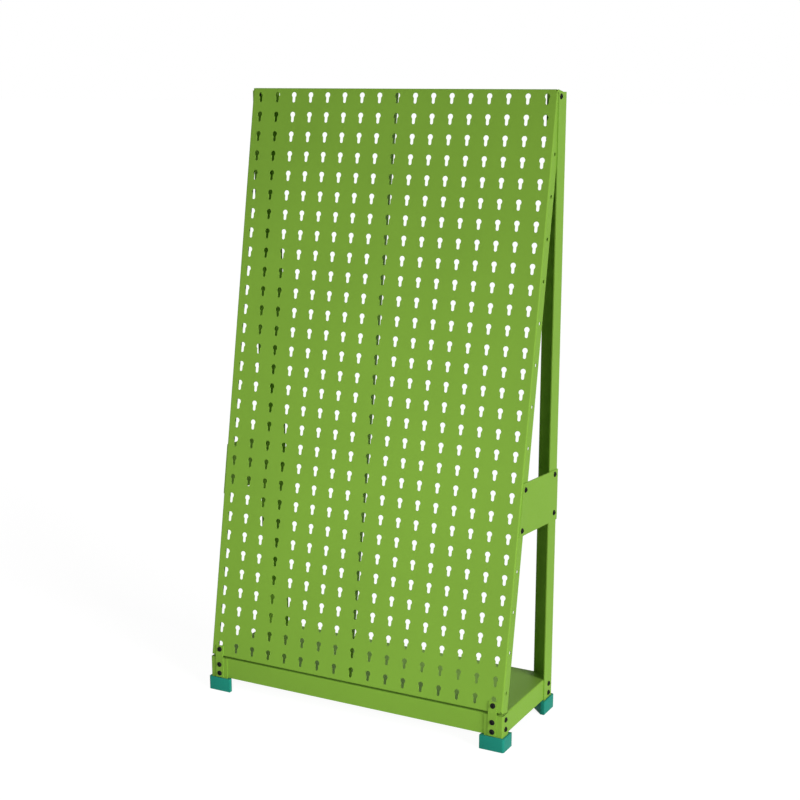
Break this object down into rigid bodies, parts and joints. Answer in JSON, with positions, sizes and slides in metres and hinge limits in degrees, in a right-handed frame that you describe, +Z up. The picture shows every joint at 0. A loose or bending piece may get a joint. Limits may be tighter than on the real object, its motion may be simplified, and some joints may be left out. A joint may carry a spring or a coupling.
{
  "type": "tool stand",
  "caption": "Free-standing tool stand: a leaning perforated sheet panel with keyholes for hooks, on a low shelf tray, propped by rear posts on plastic feet.",
  "frame": {"origin": "centre of the footprint's box on the floor", "axes": "+X to the right as seen from the front, +Y from the front to the back, +Z up"},
  "size_m": [0.66, 0.2469, 1.1969],
  "materials": {
    "green_paint": "satin powder coat",
    "foot_plastic": "moulded, slightly glossy",
    "black_fasteners": "black coated"
  },
  "bodies": {
    "root": {"perforated_panel": "green_paint", "centre_rib": "green_paint", "rear_post_left": "green_paint", "rear_post_right": "green_paint", "front_leg_left": "green_paint", "front_leg_right": "green_paint", "base_shelf": "green_paint", "side_plate_left": "green_paint", "side_plate_right": "green_paint", "joining_strip_left": "green_paint", "joining_strip_right": "green_paint", "foot_front_left": "foot_plastic", "foot_front_right": "foot_plastic", "foot_rear_left": "foot_plastic", "foot_rear_right": "foot_plastic", "top_bolts": "black_fasteners", "top_nuts": "black_fasteners", "plate_bolts": "black_fasteners", "plate_nuts": "black_fasteners", "strip_bolts": "black_fasteners", "strip_nuts": "black_fasteners", "front_corner_bolts": "black_fasteners", "front_corner_nuts": "black_fasteners", "rear_corner_bolts": "black_fasteners", "rear_corner_nuts": "black_fasteners"}
  },
  "joints": []
}
